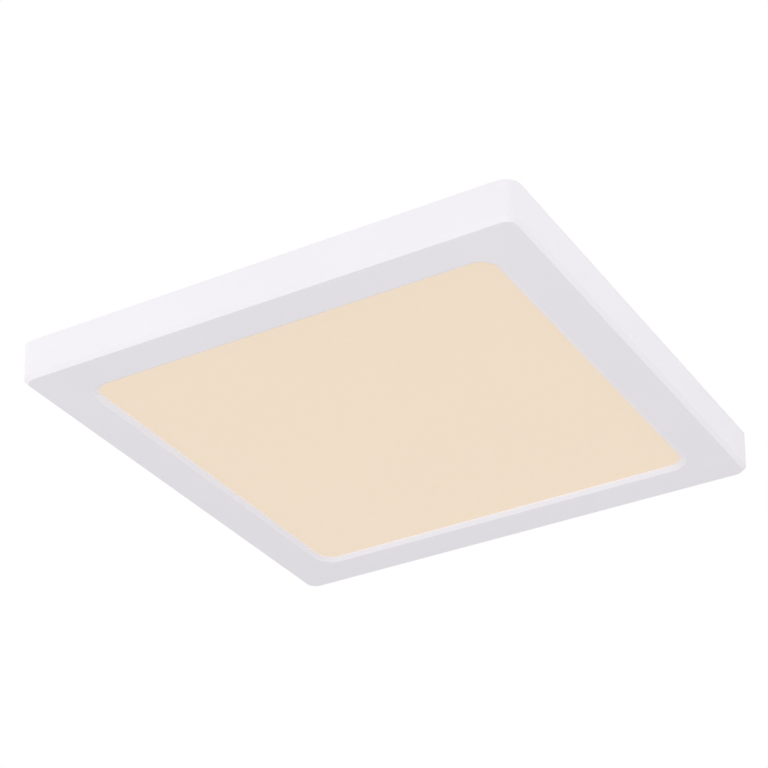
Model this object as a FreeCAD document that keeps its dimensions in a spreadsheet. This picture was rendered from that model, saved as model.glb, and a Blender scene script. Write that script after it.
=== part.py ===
"""Square edge-lit flush mount ceiling light: a drafted frame with its light panel, a slim driver and a
terminal block, held by two leaf springs to a steel plate on the ceiling.

Millimetres and degrees. The origin is the centre of the plate's ceiling face, +Z points up into the
ceiling, and the light hangs down to -frame_depth.
"""

import FreeCAD, Part
import math
import os
import re
import sys
import Sketcher

SIZES = {
    # frame
    "frame_side": 300,
    "frame_corner": 9,
    "frame_depth": 23,
    "frame_draft": 2.7,
    "frame_chamfer": 2.2,
    "frame_wall": 2,
    "bezel_thick": 2.4,
    "lens_side": 242,
    "lens_corner": 10,
    "bevel_wide": 3,
    "bevel_deep": 1.7,
    "rib_half": 129.1,
    "rib_thick": 1.6,
    "rib_corner": 3,
    "boss_out": 135,
    "boss_along": 60,
    "boss_radius": 3,
    "brace_near": 30,
    "brace_far": 95,
    "brace_thick": 1.2,
    "brace_low": 2,
    "brace_root": 0.2,
    "ledge_reach": 145.2,
    "ledge_half": 14,
    "ledge_low": 6,
    "ledge_high": 4.5,
    "notch_near": 109,
    "notch_far": 115,
    "notch_play": 0.5,
    # optical stack
    "diffuser_side": 255,
    "diffuser_thick": 1.5,
    "guide_side": 254,
    "guide_thick": 3,
    "guide_corner": 0.75,
    "reflector_thick": 0.3,
    "foam_side": 250,
    "foam_thick": 1.5,
    "foam_hole": 4.5,
    # boards round the guide
    "board_long": 246,
    "board_tall": 5,
    "board_thick": 1,
    "board_corner": 0.2,
    "board_play": 0.05,
    "led_long": 4,
    "led_tall": 1.4,
    "led_proud": 0.8,
    "led_pitch": 10,
    "led_count": 24,
    "jumper_thick": 0.3,
    "jumper_tall": 3,
    "jumper_lap": 3,
    "jumper_round": 2.2,
    # rear cover
    "cover_side": 278,
    "cover_corner": 8,
    "cover_thick": 0.8,
    "cover_screw": 1.45,
    "cover_screw_long": 5,
    "cover_screw_head": 2.8,
    "cover_screw_head_tall": 1.9,
    "cover_hole": 1.7,
    "lead_hole": 3.5,
    "lead_hole_out": 133.3,
    # driver case
    "driver_long": 150,
    "driver_wide": 40,
    "driver_tall": 11.5,
    "driver_back": 85,
    "driver_wall": 1.5,
    "driver_lid": 1.5,
    "driver_corner": 3,
    "driver_ear": 12,
    "driver_ear_half": 8,
    "ear_root": 1,
    "port_height": 7,
    "mains_across": 3,
    "pair_across": 2,
    "post_out": 62,
    "post_across": 14,
    "post_radius": 2,
    "post_tall": 1.6,
    "lid_round": 0.6,
    "lid_play": 0.1,
    "lid_panel_long": 92,
    "lid_panel_wide": 26,
    "lid_panel_deep": 0.3,
    "skirt_thick": 1,
    "skirt_deep": 1,
    "skirt_corner": 1.2,
    "rivet_radius": 1.6,
    "rivet_head": 3,
    "rivet_foot": 2.4,
    "rivet_foot_tall": 0.7,
    "rivet_head_tall": 0.9,
    # driver board and its components
    "driver_board_long": 140,
    "driver_board_wide": 34,
    "driver_board_thick": 1.2,
    "driver_board_corner": 1,
    "core_half": 9,
    "core_lift": 0.9,
    "core_tall": 3.2,
    "core_leg_half": 2.4,
    "window_far": 6.6,
    "window_half_long": 5.2,
    "winding_half_long": 5,
    "winding_half_wide": 6.4,
    "winding_tall": 5,
    "winding_corner": 0.5,
    "can_radius": 2.4,
    "can_long": 11,
    "choke_radius": 4,
    "choke_waist": 3.2,
    "choke_flange": 0.8,
    "choke_tall": 4.8,
    "fuse_radius": 1.8,
    "fuse_glass": 1.6,
    "fuse_cap": 2,
    "fuse_long": 9,
    # terminal block
    "terminal_long": 38,
    "terminal_wide": 17,
    "terminal_tall": 9,
    "terminal_back": 38,
    "terminal_corner": 1,
    "terminal_ear": 8,
    "terminal_ear_half": 4,
    "terminal_ear_thick": 2,
    "terminal_floor": 1,
    "way_pitch": 10,
    "chamber_half": 3.4,
    "chamber_front": 5.6,
    "chamber_back": 5,
    "wire_entry": 1.7,
    "wire_height": 2.9,
    "contact_thick": 0.8,
    "contact_half": 2.6,
    "contact_lip": 0.2,
    # clamp springs, with the places of their bends along the block's depth
    "clamp_thick": 0.4,
    "clamp_wide": 4,
    "clamp_gap": 0.1,
    "clamp_heel_gap": 0.2,
    "clamp_shoulder": -1.3,
    "clamp_hump": 0.9,
    "clamp_hump_gap": 0.25,
    "clamp_tip": 4.6,
    "clamp_tip_gap": 0.5,
    "clamp_heel_round": 0.5,
    "clamp_shoulder_round": 0.6,
    "clamp_hump_round": 0.7,
    # push buttons
    "button_long": 5,
    "button_wide": 4.4,
    "button_proud": 2,
    "button_deep": 2.6,
    "button_front": 2.9,
    "button_play": 0.3,
    "button_travel": 1.5,
    "button_corner": 0.5,
    "button_edge": 0.4,
    "groove_half_long": 1.4,
    "groove_half_wide": 0.3,
    "groove_deep": 0.6,
    # mounting plate
    "plate_long": 270,
    "plate_wide": 110,
    "plate_thick": 1.2,
    "plate_corner": 6,
    "flange_tall": 5,
    "flange_half": 105,
    "flange_round": 0.96,
    "slot_middle": 38,
    "slot_long": 34,
    "slot_radius": 2.5,
    "screw_hole_out": 100,
    "screw_hole_across": 35,
    "grommet_seat": 11,
    "grommet_flange": 13.5,
    "grommet_lip": 1,
    "grommet_round": 0.4,
    "cable_radius": 5,
    # spring clips
    "clip_wide": 16,
    "clip_thick": 0.6,
    "clip_inner_end": 110,
    "clip_inset": 2.5,
    "clip_gap": 0.05,
    "clip_slope": 0.92,
    "clip_nose": 3.9,
    "clip_tip_out": 0.3,
    "clip_tip_low": 11.5,
    "clip_bend_round": 2,
    "clip_nose_round": 1,
    "clip_rivet_out": 116,
    "clip_rivet_across": 4.5,
    "clip_rivet_radius": 1.5,
    "clip_rivet_sink": 1,
    "clip_rivet_head": 2.7,
    "clip_rivet_head_tall": 0.9,
    # small fixings
    "small_screw": 1.3,
    "small_screw_head": 2.4,
    "small_screw_head_tall": 1.6,
    "earth_screw": 1.8,
    "earth_screw_head": 3.6,
    "earth_screw_head_tall": 2.2,
    "screw_tail": 0.8,
    "head_shoulder": 0.6,
    "head_top": 0.65,
    "recess_arm": 0.55,
    "recess_half": 0.33,
    "recess_deep": 0.5,
    "earth_out": 38,
    "earth_back": 40,
    "tag_radius": 4.2,
    "tag_thick": 0.8,
    "tag_neck_half": 1.5,
    "tag_neck_long": 3.4,
    "tag_neck_root": 0.6,
    "tag_barrel": 1.5,
    "tag_barrel_out": 3,
    "tag_barrel_long": 5,
    # internal leads and what holds them
    "lead_radius": 1.1,
    "led_lead_radius": 0.8,
    "lead_ring_bore": 2.5,
    "lead_ring_flange": 4.8,
    "lead_ring_lip": 1,
    "plug_long": 12.5,
    "plug_wide": 5,
    "plug_tall": 4.6,
    "plug_gap": 0.4,
    "plug_lift": 0.4,
    "plug_front": 121,
    "tail_long": 2.6,
    "tail_wide": 3.6,
    "lead_clip_half": 2,
    "lead_clip_reach": 4,
    "lead_clip_tall": 5.2,
    "tunnel_half": 2.8,
    "tunnel_low": 0.9,
    "tunnel_high": 4.5,
    "lead_clip_corner": 0.5,
    "lead_clip_out": 118.6,
    "lead_clip_back": 112.6,
    "lead_clip_turn": -52.4,
    # stamped beads
    "bead_radius": 4,
    "bead_wall": 1,
    "bead_deep": 0.8,
    "bead_round": 0.5,
    "plate_bead_reach": 85,
    "plate_bead_across": 26,
    "cover_bead_reach": 100,
    "cover_bead_first": 20,
    "cover_bead_pitch": 40,
    # corner of a small block, and how far a cut runs on past what it opens into
    "block_corner": 0.3,
    "overrun": 0.1,
}

os.makedirs("parts", exist_ok=True)
doc = FreeCAD.newDocument("ceiling_light")
sheet = doc.addObject("Spreadsheet::Sheet", "Sizes")
for row, (alias, value) in enumerate(SIZES.items(), start=1):
    sheet.set("A%d" % row, alias)
    sheet.set("B%d" % row, str(value))
    sheet.setAlias("B%d" % row, alias)
doc.recompute()

V = FreeCAD.Vector
UP = V(0, 0, 1)
ALONG_Y = V(0, 1, 0)
PIECES = []

# Lengths nearer than this are the same, and so are volumes
SAME = 1e-3
# How much of the shorter of two runs the arc between them takes at most
ARC_SHARE = 0.45
# The way of joining that keeps a planar offset's corners sharp
SHARP_JOIN = 2

# Heights of the stack, as expressions of the sheet's sizes
BEZEL_TOP = "(bezel_thick - frame_depth)"
DIFFUSER_TOP = "(bezel_thick - frame_depth + diffuser_thick)"
GUIDE_TOP = "(bezel_thick - frame_depth + diffuser_thick + guide_thick)"
REFLECTOR_TOP = "(bezel_thick - frame_depth + diffuser_thick + guide_thick + reflector_thick)"
STACK_TOP = REFLECTOR_TOP[:-1] + " + foam_thick)"
COVER_TOP = STACK_TOP[:-1] + " + cover_thick)"
BOARD_LOW = "(" + GUIDE_TOP + " - guide_thick / 2 - board_tall / 2)"


# ---------------------------------------------------------------- helpers

def linked(expression):
    """The expression with each alias pointed at the sheet."""
    return re.sub(r"[a-z_]+", lambda word: "Sizes." + word[0] if word[0] in SIZES else word[0], expression)


def size(expression):
    """The expression's value in millimetres or degrees."""
    found = sheet.evalExpression(linked(str(expression)))
    return float(getattr(found, "Value", found))


def bind(thing, name, expression):
    thing.setExpression(name, linked(str(expression)))


def keep(piece, label):
    """Give the piece its node's name and list it for export."""
    piece.Label = label
    PIECES.append(piece)
    return piece


def place(piece, x=0, y=0, z=0, turn=0, about=UP):
    """Turn the piece about an axis through the origin, +Z unless given, and move it."""
    piece.Placement = FreeCAD.Placement(V(0, 0, 0), FreeCAD.Rotation(about, turn))
    for axis, expression in (("x", x), ("y", y), ("z", z)):
        if expression != 0:
            bind(piece, "Placement.Base." + axis, expression)
    return piece


def new_body(label):
    return doc.addObject("PartDesign::Body", label)


def sketch(body, plane="XY_Plane", offset=0):
    """An empty sketch on one of the body's own origin planes, moved along the plane's normal."""
    made = body.newObject("Sketcher::SketchObject", body.Name + "_outline")
    origin = next(f for f in body.Origin.OriginFeatures if f.Role == plane)
    made.AttachmentSupport = [(origin, "")]
    made.MapMode = "FlatFace"
    if offset != 0:
        bind(made, "AttachmentOffset.Base.z", offset)
    return made


def dimension(outline, kind, *reference, to):
    """A constraint whose value is an expression."""
    number = outline.addConstraint(Sketcher.Constraint(kind, *reference, size(to)))
    bind(outline, "Constraints[%d]" % number, to)


def circle(outline, x, y, radius):
    edge = outline.addGeometry(Part.Circle(V(size(x), size(y), 0), UP, size(radius)))
    dimension(outline, "Radius", edge, to=radius)
    dimension(outline, "DistanceX", -1, 1, edge, 3, to=x)
    dimension(outline, "DistanceY", -1, 1, edge, 3, to=y)


def polygon(outline, corners):
    """Straight edges through corners given as pairs of expressions."""
    points = [V(size(x), size(y), 0) for x, y in corners]
    count = len(points)
    edges = [
        outline.addGeometry(Part.LineSegment(points[i], points[(i + 1) % count])) for i in range(count)
    ]
    for i, (x, y) in enumerate(corners):
        outline.addConstraint(Sketcher.Constraint("Coincident", edges[i - 1], 2, edges[i], 1))
        dimension(outline, "DistanceX", -1, 1, edges[i], 1, to=x)
        dimension(outline, "DistanceY", -1, 1, edges[i], 1, to=y)


def rectangle(outline, left, right, low, high):
    polygon(outline, [(left, low), (right, low), (right, high), (left, high)])


def rounded_rectangle(outline, left, right, low, high, radius):
    """A rectangle with four equal arcs, fixed by its sides and its radius."""
    x0, x1, y0, y1, r = (size(e) for e in (left, right, low, high, radius))
    sides = outline.addGeometry([
        Part.LineSegment(V(x0 + r, y0, 0), V(x1 - r, y0, 0)),
        Part.LineSegment(V(x1, y0 + r, 0), V(x1, y1 - r, 0)),
        Part.LineSegment(V(x1 - r, y1, 0), V(x0 + r, y1, 0)),
        Part.LineSegment(V(x0, y1 - r, 0), V(x0, y0 + r, 0)),
    ])
    centres = [(x1 - r, y0 + r), (x1 - r, y1 - r), (x0 + r, y1 - r), (x0 + r, y0 + r)]
    arcs = [
        outline.addGeometry(
            Part.ArcOfCircle(Part.Circle(V(x, y, 0), UP, r), math.pi / 2 * (i - 1), math.pi / 2 * i)
        )
        for i, (x, y) in enumerate(centres)
    ]
    for i in range(4):
        following = (i + 1) % 4
        outline.addConstraint(Sketcher.Constraint("Tangent", sides[i], 2, arcs[i], 1))
        outline.addConstraint(Sketcher.Constraint("Tangent", arcs[i], 2, sides[following], 1))
        outline.addConstraint(Sketcher.Constraint("Vertical" if i % 2 else "Horizontal", sides[i]))
    for i in range(3):
        outline.addConstraint(Sketcher.Constraint("Equal", arcs[i], arcs[i + 1]))
    dimension(outline, "Radius", arcs[0], to=radius)
    dimension(outline, "DistanceY", -1, 1, sides[0], 1, to=low)
    dimension(outline, "DistanceX", -1, 1, sides[1], 1, to=right)
    dimension(outline, "DistanceY", -1, 1, sides[2], 1, to=high)
    dimension(outline, "DistanceX", -1, 1, sides[3], 1, to=left)


def rounded_square(outline, half, radius):
    rounded_rectangle(outline, "-(%s)" % half, half, "-(%s)" % half, half, radius)


def rounded_slot(outline, left, right, radius, y="0"):
    """A slot along X with half-round ends."""
    x0, x1, r, row = size(left), size(right), size(radius), size(y)
    quarter = math.pi / 2
    low = outline.addGeometry(Part.LineSegment(V(x0 + r, row - r, 0), V(x1 - r, row - r, 0)))
    high = outline.addGeometry(Part.LineSegment(V(x1 - r, row + r, 0), V(x0 + r, row + r, 0)))
    near_round = Part.Circle(V(x0 + r, row, 0), UP, r)
    near = outline.addGeometry(Part.ArcOfCircle(near_round, quarter, 3 * quarter))
    far_round = Part.Circle(V(x1 - r, row, 0), UP, r)
    far = outline.addGeometry(Part.ArcOfCircle(far_round, -quarter, quarter))
    meetings = ((low, 2, far, 1), (far, 2, high, 1), (high, 2, near, 1), (near, 2, low, 1))
    for one, its_end, other, other_end in meetings:
        outline.addConstraint(Sketcher.Constraint("Tangent", one, its_end, other, other_end))
    outline.addConstraint(Sketcher.Constraint("Horizontal", low))
    dimension(outline, "Radius", near, to=radius)
    dimension(outline, "DistanceX", -1, 1, near, 3, to="%s + %s" % (left, radius))
    dimension(outline, "DistanceX", -1, 1, far, 3, to="%s - (%s)" % (right, radius))
    dimension(outline, "DistanceY", -1, 1, near, 3, to=y)


def pad(body, outline, length, down=False, taper=None, middle=False):
    """Add the outline's extrusion. A taper is the draft of its sides, inwards along the way."""
    made = body.newObject("PartDesign::Pad", body.Name + "_pad")
    made.Profile = outline
    bind(made, "Length", length)
    made.Reversed = down
    made.Midplane = middle
    if taper:
        bind(made, "TaperAngle", "-(%s)" % taper)
    body.Tip = made
    doc.recompute()
    return made


def pocket(body, outline, length, up=False, taper=None):
    """Cut the outline's extrusion, down from the sketch unless up, and test that it cuts."""
    before = body.Shape.Volume
    made = body.newObject("PartDesign::Pocket", body.Name + "_pocket")
    made.Profile = outline
    bind(made, "Length", length)
    made.Reversed = up
    if taper:
        bind(made, "TaperAngle", "-(%s)" % taper)
    body.Tip = made
    doc.recompute()
    if body.Shape.Volume > before - SAME:
        sys.exit("a pocket of %s cuts nothing" % body.Name)
    return made


def edges_where(feature, test):
    """Names of the feature's edges that pass the test."""
    return ["Edge%d" % (i + 1) for i, edge in enumerate(feature.Shape.Edges) if test(edge)]


def fillet(body, feature, radius, test):
    made = body.newObject("PartDesign::Fillet", body.Name + "_round")
    made.Base = (feature, edges_where(feature, test))
    bind(made, "Radius", radius)
    body.Tip = made
    doc.recompute()
    return made


def chamfer(body, feature, length, test):
    made = body.newObject("PartDesign::Chamfer", body.Name + "_bevel")
    made.Base = (feature, edges_where(feature, test))
    bind(made, "Size", length)
    body.Tip = made
    doc.recompute()
    return made


def flat_at(height):
    """A test for edges that lie wholly at one height."""
    level = size(height)
    return lambda e: abs(e.BoundBox.ZMax - level) < SAME and abs(e.BoundBox.ZMin - level) < SAME


def stamp_beads(body, face, back, rows, reach, up=False):
    """Stiffening beads along X at rows of y, raised from one face of a sheet and hollow in the other."""
    raised = sketch(body, offset=face)
    hollow = sketch(body, offset=back)
    for y in rows:
        rounded_slot(raised, "-" + reach, reach, "bead_radius", y)
        rounded_slot(hollow, "-%s + bead_wall" % reach, reach + " - bead_wall", "bead_radius - bead_wall", y)
    bead = pad(body, raised, "bead_deep", down=not up)
    fillet(body, bead, "bead_round", flat_at("%s %s bead_deep" % (face, "+" if up else "-")))
    pocket(body, hollow, "bead_deep", up=up)


def turned(label, profile):
    """A body of revolution about +Z from (radius, height) corners."""
    body = new_body(label)
    outline = sketch(body, "XZ_Plane")
    polygon(outline, profile)
    made = body.newObject("PartDesign::Revolution", body.Name + "_turn")
    made.Profile = outline
    made.ReferenceAxis = (outline, ["V_Axis"])
    made.Angle = 360
    body.Tip = made
    doc.recompute()
    return body


def plate(label, half, radius, thick, height=0):
    """A flat square sheet of the stack with its lowest face at the height."""
    body = new_body(label)
    outline = sketch(body, offset=height)
    rounded_square(outline, half, radius)
    pad(body, outline, thick)
    return keep(body, label)


def brick(label, x, y, z, radius="block_corner"):
    """A block with rounded uprights, between three pairs of expressions."""
    body = new_body(label)
    outline = sketch(body, offset=z[0])
    rounded_rectangle(outline, x[0], x[1], y[0], y[1], radius)
    pad(body, outline, "(%s) - (%s)" % (z[1], z[0]))
    return body


def copies(label, master, spots):
    """One node that holds the master once at each (x, y, z) of expressions."""
    row = []
    for x, y, z in spots:
        link = doc.addObject("App::Link", master.Name + "_copy")
        link.LinkedObject = master
        row.append(place(link, x, y, z))
    group = doc.addObject("Part::Compound", label)
    group.Links = row
    return keep(group, label)


def joined(label, things):
    """Several solids of one node."""
    group = doc.addObject("Part::Compound", label)
    group.Links = things
    return keep(group, label)


def shaped(label, shape):
    """A piece made with the geometry kernel's own functions."""
    made = doc.addObject("Part::Feature", label)
    made.Shape = shape
    return keep(made, label)


def path(points, radii=None):
    """A wire of straight runs joined by tangent arcs. Where no radius is given, an arc is as large as
    its two runs allow."""
    edges = []
    start = points[0]
    made_radii = []
    for i in range(1, len(points) - 1):
        into = points[i] - points[i - 1]
        out = points[i + 1] - points[i]
        turn = into.getAngle(out)
        if radii:
            radius = radii[i - 1]
        else:
            radius = ARC_SHARE * min(into.Length, out.Length) / math.tan(turn / 2)
        made_radii.append(radius)
        reach = radius * math.tan(turn / 2)
        into.normalize()
        out.normalize()
        first = points[i] - into * reach
        last = points[i] + out * reach
        inward = (out - into).normalize()
        centre = points[i] + inward * (radius / math.cos(turn / 2))
        edges.append(Part.LineSegment(start, first).toShape())
        edges.append(Part.Arc(first, centre - inward * radius, last).toShape())
        start = last
    edges.append(Part.LineSegment(start, points[-1]).toShape())
    return Part.Wire(edges), made_radii


def strip(points, radii, thick, wide, side=1):
    """A bent strip: the path in the XZ plane, thickened to one side, its width centred on y = 0."""
    wire, _ = path([V(x, -wide / 2, z) for x, z in points], radii)
    return wire.makeOffset2D(side * thick, SHARP_JOIN, True, True).extrude(V(0, wide, 0))


def lead(label, points, radius):
    """A round lead along a path of straight runs and tangent arcs."""
    wire, radii = path([V(*p) for p in points])
    first = wire.Edges[0]
    start = first.valueAt(first.FirstParameter)
    section = Part.Wire([Part.makeCircle(radius, start, first.tangentAt(first.FirstParameter))])
    solid = wire.makePipeShell([section], True, False)
    expected = math.pi * radius**2 * wire.Length
    print("%s: length %.1f, arcs %s, volume over section x length %.4f" % (
        label, wire.Length, " ".join("%.1f" % r for r in radii), solid.Volume / expected))
    return shaped(label, solid)


# ---------------------------------------------------------------- frame

def make_frame():
    body = new_body("frame")
    half = "frame_side / 2"
    bottom = "-frame_depth"
    outline = sketch(body)
    rounded_square(outline, half, "frame_corner")
    block = pad(body, outline, "frame_depth", down=True, taper="frame_draft")
    chamfer(body, block, "frame_chamfer", flat_at(bottom))

    hollow = sketch(body)
    rounded_square(hollow, half + " - frame_wall", "frame_corner - frame_wall")
    pocket(body, hollow, "frame_depth - bezel_thick", taper="frame_draft")
    opening = sketch(body, offset=BEZEL_TOP)
    rounded_square(opening, "lens_side / 2", "lens_corner")
    pocket(body, opening, "bezel_thick")
    bevel = sketch(body, offset=bottom)
    rounded_square(bevel, "lens_side / 2 + bevel_wide", "lens_corner + bevel_wide")
    pocket(body, bevel, "bevel_deep", up=True, taper="atan(bevel_wide / bevel_deep)")

    rib = sketch(body, offset=BEZEL_TOP)
    rounded_square(rib, "rib_half", "rib_corner")
    rounded_square(rib, "rib_half + rib_thick", "rib_corner + rib_thick")
    pad(body, rib, STACK_TOP + " - " + BEZEL_TOP)

    bosses = sketch(body, offset=BEZEL_TOP)
    pilots = sketch(body, offset=STACK_TOP)
    for x, y in cover_screw_spots():
        circle(bosses, x, y, "boss_radius")
        circle(pilots, x, y, "cover_screw")
    pad(body, bosses, STACK_TOP + " - " + BEZEL_TOP)
    pocket(body, pilots, "cover_screw_long - cover_thick")

    braces = sketch(body, offset=BEZEL_TOP)
    inner = "rib_half + rib_thick - brace_root"
    outer = "frame_side / 2 - frame_wall"
    for along in BRACES:
        low, high = along + " - brace_thick / 2", along + " + brace_thick / 2"
        for near, far in ((inner, outer), ("-(%s)" % outer, "-(%s)" % inner)):
            rectangle(braces, near, far, low, high)
            rectangle(braces, low, high, near, far)
    pad(body, braces, STACK_TOP + " - " + BEZEL_TOP + " - brace_low")

    ledges = sketch(body, offset="-ledge_low")
    for near, far in (("ledge_reach", outer), ("-(%s)" % outer, "-ledge_reach")):
        rectangle(ledges, near, far, "-ledge_half", "ledge_half")
    pad(body, ledges, "ledge_low - ledge_high")

    notch = sketch(body, offset=STACK_TOP)
    rectangle(
        notch, "rib_half - notch_play", "rib_half + rib_thick + notch_play", "-notch_far", "-notch_near"
    )
    pocket(body, notch, "guide_thick + reflector_thick + foam_thick")
    return keep(body, "frame")


BRACES = ["-brace_far", "-brace_near", "brace_near", "brace_far"]


def cover_screw_spots():
    """The eight screws of the rear cover, two along each side."""
    out, along = "boss_out", "boss_along"
    spots = []
    for side in ("", "-"):
        for step in ("", "-"):
            spots.append((side + out, step + along))
            spots.append((step + along, side + out))
    return spots


# ---------------------------------------------------------------- optical stack

def make_stack():
    """The sheets on the bezel, from the diffuser up."""
    plate("diffuser", "diffuser_side / 2", "rib_corner", "diffuser_thick", BEZEL_TOP)
    plate("light_guide", "guide_side / 2", "guide_corner", "guide_thick", DIFFUSER_TOP)
    plate("reflector_sheet", "guide_side / 2", "guide_corner", "reflector_thick", GUIDE_TOP)
    foam = plate("foam_pad", "foam_side / 2", "rib_corner", "foam_thick", REFLECTOR_TOP)
    holes = sketch(foam, offset=STACK_TOP)
    for x, y, _ in COVER_FIXINGS:
        circle(holes, x, y, "foam_hole")
    pocket(foam, holes, "foam_thick")


# Fixings that pass through the rear cover inside the rib, with the radius of each hole
COVER_FIXINGS = [
    ("driver_long / 2 + driver_ear / 2", "-driver_back", "rivet_radius"),
    ("-(driver_long / 2 + driver_ear / 2)", "-driver_back", "rivet_radius"),
    ("-(terminal_long / 2 + terminal_ear / 2)", "-terminal_back", "small_screw"),
    ("earth_out", "-earth_back", "earth_screw"),
]


# ---------------------------------------------------------------- light source

def make_boards():
    """A board on each side of the guide, with its row of emitters facing the guide's edge."""
    for turn, side in ((0, "front"), (90, "right"), (180, "rear"), (270, "left")):
        board = brick(
            "led_board_" + side,
            ("-board_long / 2", "board_long / 2"),
            ("-(rib_half - board_play)", "-(rib_half - board_play - board_thick)"),
            (BOARD_LOW, BOARD_LOW + " + board_tall"),
            radius="board_corner",
        )
        place(keep(board, "led_board_" + side), turn=turn)

        row = new_body("leds_" + side)
        face = "(rib_half - board_play - board_thick)"
        outline = sketch(row, offset=GUIDE_TOP + " - guide_thick / 2 - led_tall / 2")
        first = "(-(led_count - 1) / 2 * led_pitch)"
        rectangle(
            outline,
            first + " - led_long / 2", first + " + led_long / 2",
            "-" + face, "-" + face + " + led_proud",
        )
        block = pad(row, outline, "led_tall")
        pattern = row.newObject("PartDesign::LinearPattern", row.Name + "_row")
        pattern.Originals = [block]
        pattern.Direction = (outline, ["H_Axis"])
        bind(pattern, "Length", "(led_count - 1) * led_pitch")
        bind(pattern, "Occurrences", "led_count")
        row.Tip = pattern
        place(keep(row, "leds_" + side), turn=turn)


def make_jumpers():
    """Three flexible strips that lie in the rib's corners and lap the ends of the boards."""
    half = size("rib_half - 2 * board_play - board_thick - jumper_thick")
    end = size("board_long / 2 - jumper_lap")
    low = size(BOARD_LOW + " + (board_tall - jumper_tall) / 2")
    solids = []
    for turn in (0, 90, 180):
        corner = [V(end, -half, low), V(half, -half, low), V(half, -end, low)]
        wire, _ = path(corner, [size("jumper_round")])
        face = wire.makeOffset2D(size("jumper_thick"), SHARP_JOIN, True, True)
        strap = face.extrude(V(0, 0, size("jumper_tall")))
        strap.rotate(V(0, 0, 0), UP, turn + 90)
        solids.append(strap)
    shaped("board_jumpers", Part.makeCompound(solids))


# ---------------------------------------------------------------- rear cover

def make_cover():
    """The steel sheet that closes the stack and carries the driver and the terminal block."""
    body = plate("rear_cover", "cover_side / 2", "cover_corner", "cover_thick", STACK_TOP)
    holes = sketch(body, offset=COVER_TOP)
    for x, y in cover_screw_spots():
        circle(holes, x, y, "cover_hole")
    for x, y, radius in COVER_FIXINGS:
        circle(holes, x, y, radius)
    circle(holes, "lead_hole_out", "-lead_hole_out", "lead_hole")
    pocket(body, holes, "cover_thick")
    rows = ["cover_bead_first + %d * cover_bead_pitch" % row for row in range(3)]
    stamp_beads(body, COVER_TOP, STACK_TOP, rows, "cover_bead_reach", up=True)

    screw = pan_screw(
        "cover_screw_master", "cover_screw", "cover_screw_head", "cover_screw_head_tall", "cover_screw_long"
    )
    copies("rear_cover_screws", screw, [(x, y, COVER_TOP) for x, y in cover_screw_spots()])


def pan_screw(label, shank, head, head_tall, long):
    """A pan head screw whose head stands on z = 0, with a cross recess."""
    screw = turned(label, [
        ("0", "-(%s)" % long),
        (shank, "-(%s)" % long),
        (shank, "0"),
        (head, "0"),
        (head, head_tall + " * head_shoulder"),
        (head + " * head_top", head_tall),
        ("0", head_tall),
    ])
    recess = sketch(screw, offset=head_tall)
    cross(recess, head + " * recess_arm", "recess_half")
    pocket(screw, recess, head_tall + " * recess_deep")
    return screw


def cross(outline, arm, half):
    """The outline of a cross recess."""
    ways = [(arm, half), (half, half), (half, arm)]
    corners = []
    for x_sign, y_sign, order in (("", "", 1), ("-", "", -1), ("-", "-", 1), ("", "-", -1)):
        for x, y in ways[::order]:
            corners.append((x_sign + x, y_sign + y))
    polygon(outline, corners)


# ---------------------------------------------------------------- driver

HALF_LONG = "driver_long / 2"
HALF_WIDE = "driver_wide / 2"
BOARD_SEAT = "(driver_wall + post_tall)"
BOARD_TOP = "(driver_wall + post_tall + driver_board_thick)"
CORE_LOW = BOARD_TOP[:-1] + " + core_lift)"
CORE_HIGH = BOARD_TOP[:-1] + " + core_lift + core_tall)"
MAINS_LEADS = {"line": "-mains_across", "neutral": "mains_across"}
LED_LEADS = {"negative": "-pair_across", "positive": "pair_across"}

# Plain components on the driver's board: low and high x, low and high y, height and corner
BOARD_BLOCKS = {
    "film_capacitor": (-46, -34, 4, 10, 5, 0.6),
    "bridge_rectifier": (-36, -30, -12, -6, 2.5, 0.2),
    "driver_chip": (-21, -16, 4, 8, 1.6, 0.1),
}
# The wire blocks at the board's two ends, in the same way
WIRE_BLOCKS = {
    "mains_terminals": (-70, -63, -7, 7, 4.4, 0.3),
    "led_terminals": (63, 70, -6, 6, 4.4, 0.3),
}
# Places of the round components on the board, as x and y
CANS = (("20", "-8"), ("20", "8"), ("-24", "-9"))
CHOKE = ("-42", "-9")
FUSE = ("-60", "12")


def on_cover(piece):
    """Set a driver piece, drawn about its own middle, on the rear cover."""
    return place(piece, y="-driver_back", z=COVER_TOP)


def driver_outline(outline, inset, radius):
    """The case's rounded rectangle, drawn in by an inset on every side."""
    long, wide = "(%s - (%s))" % (HALF_LONG, inset), "(%s - (%s))" % (HALF_WIDE, inset)
    rounded_rectangle(outline, "-" + long, long, "-" + wide, wide, radius)


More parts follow.
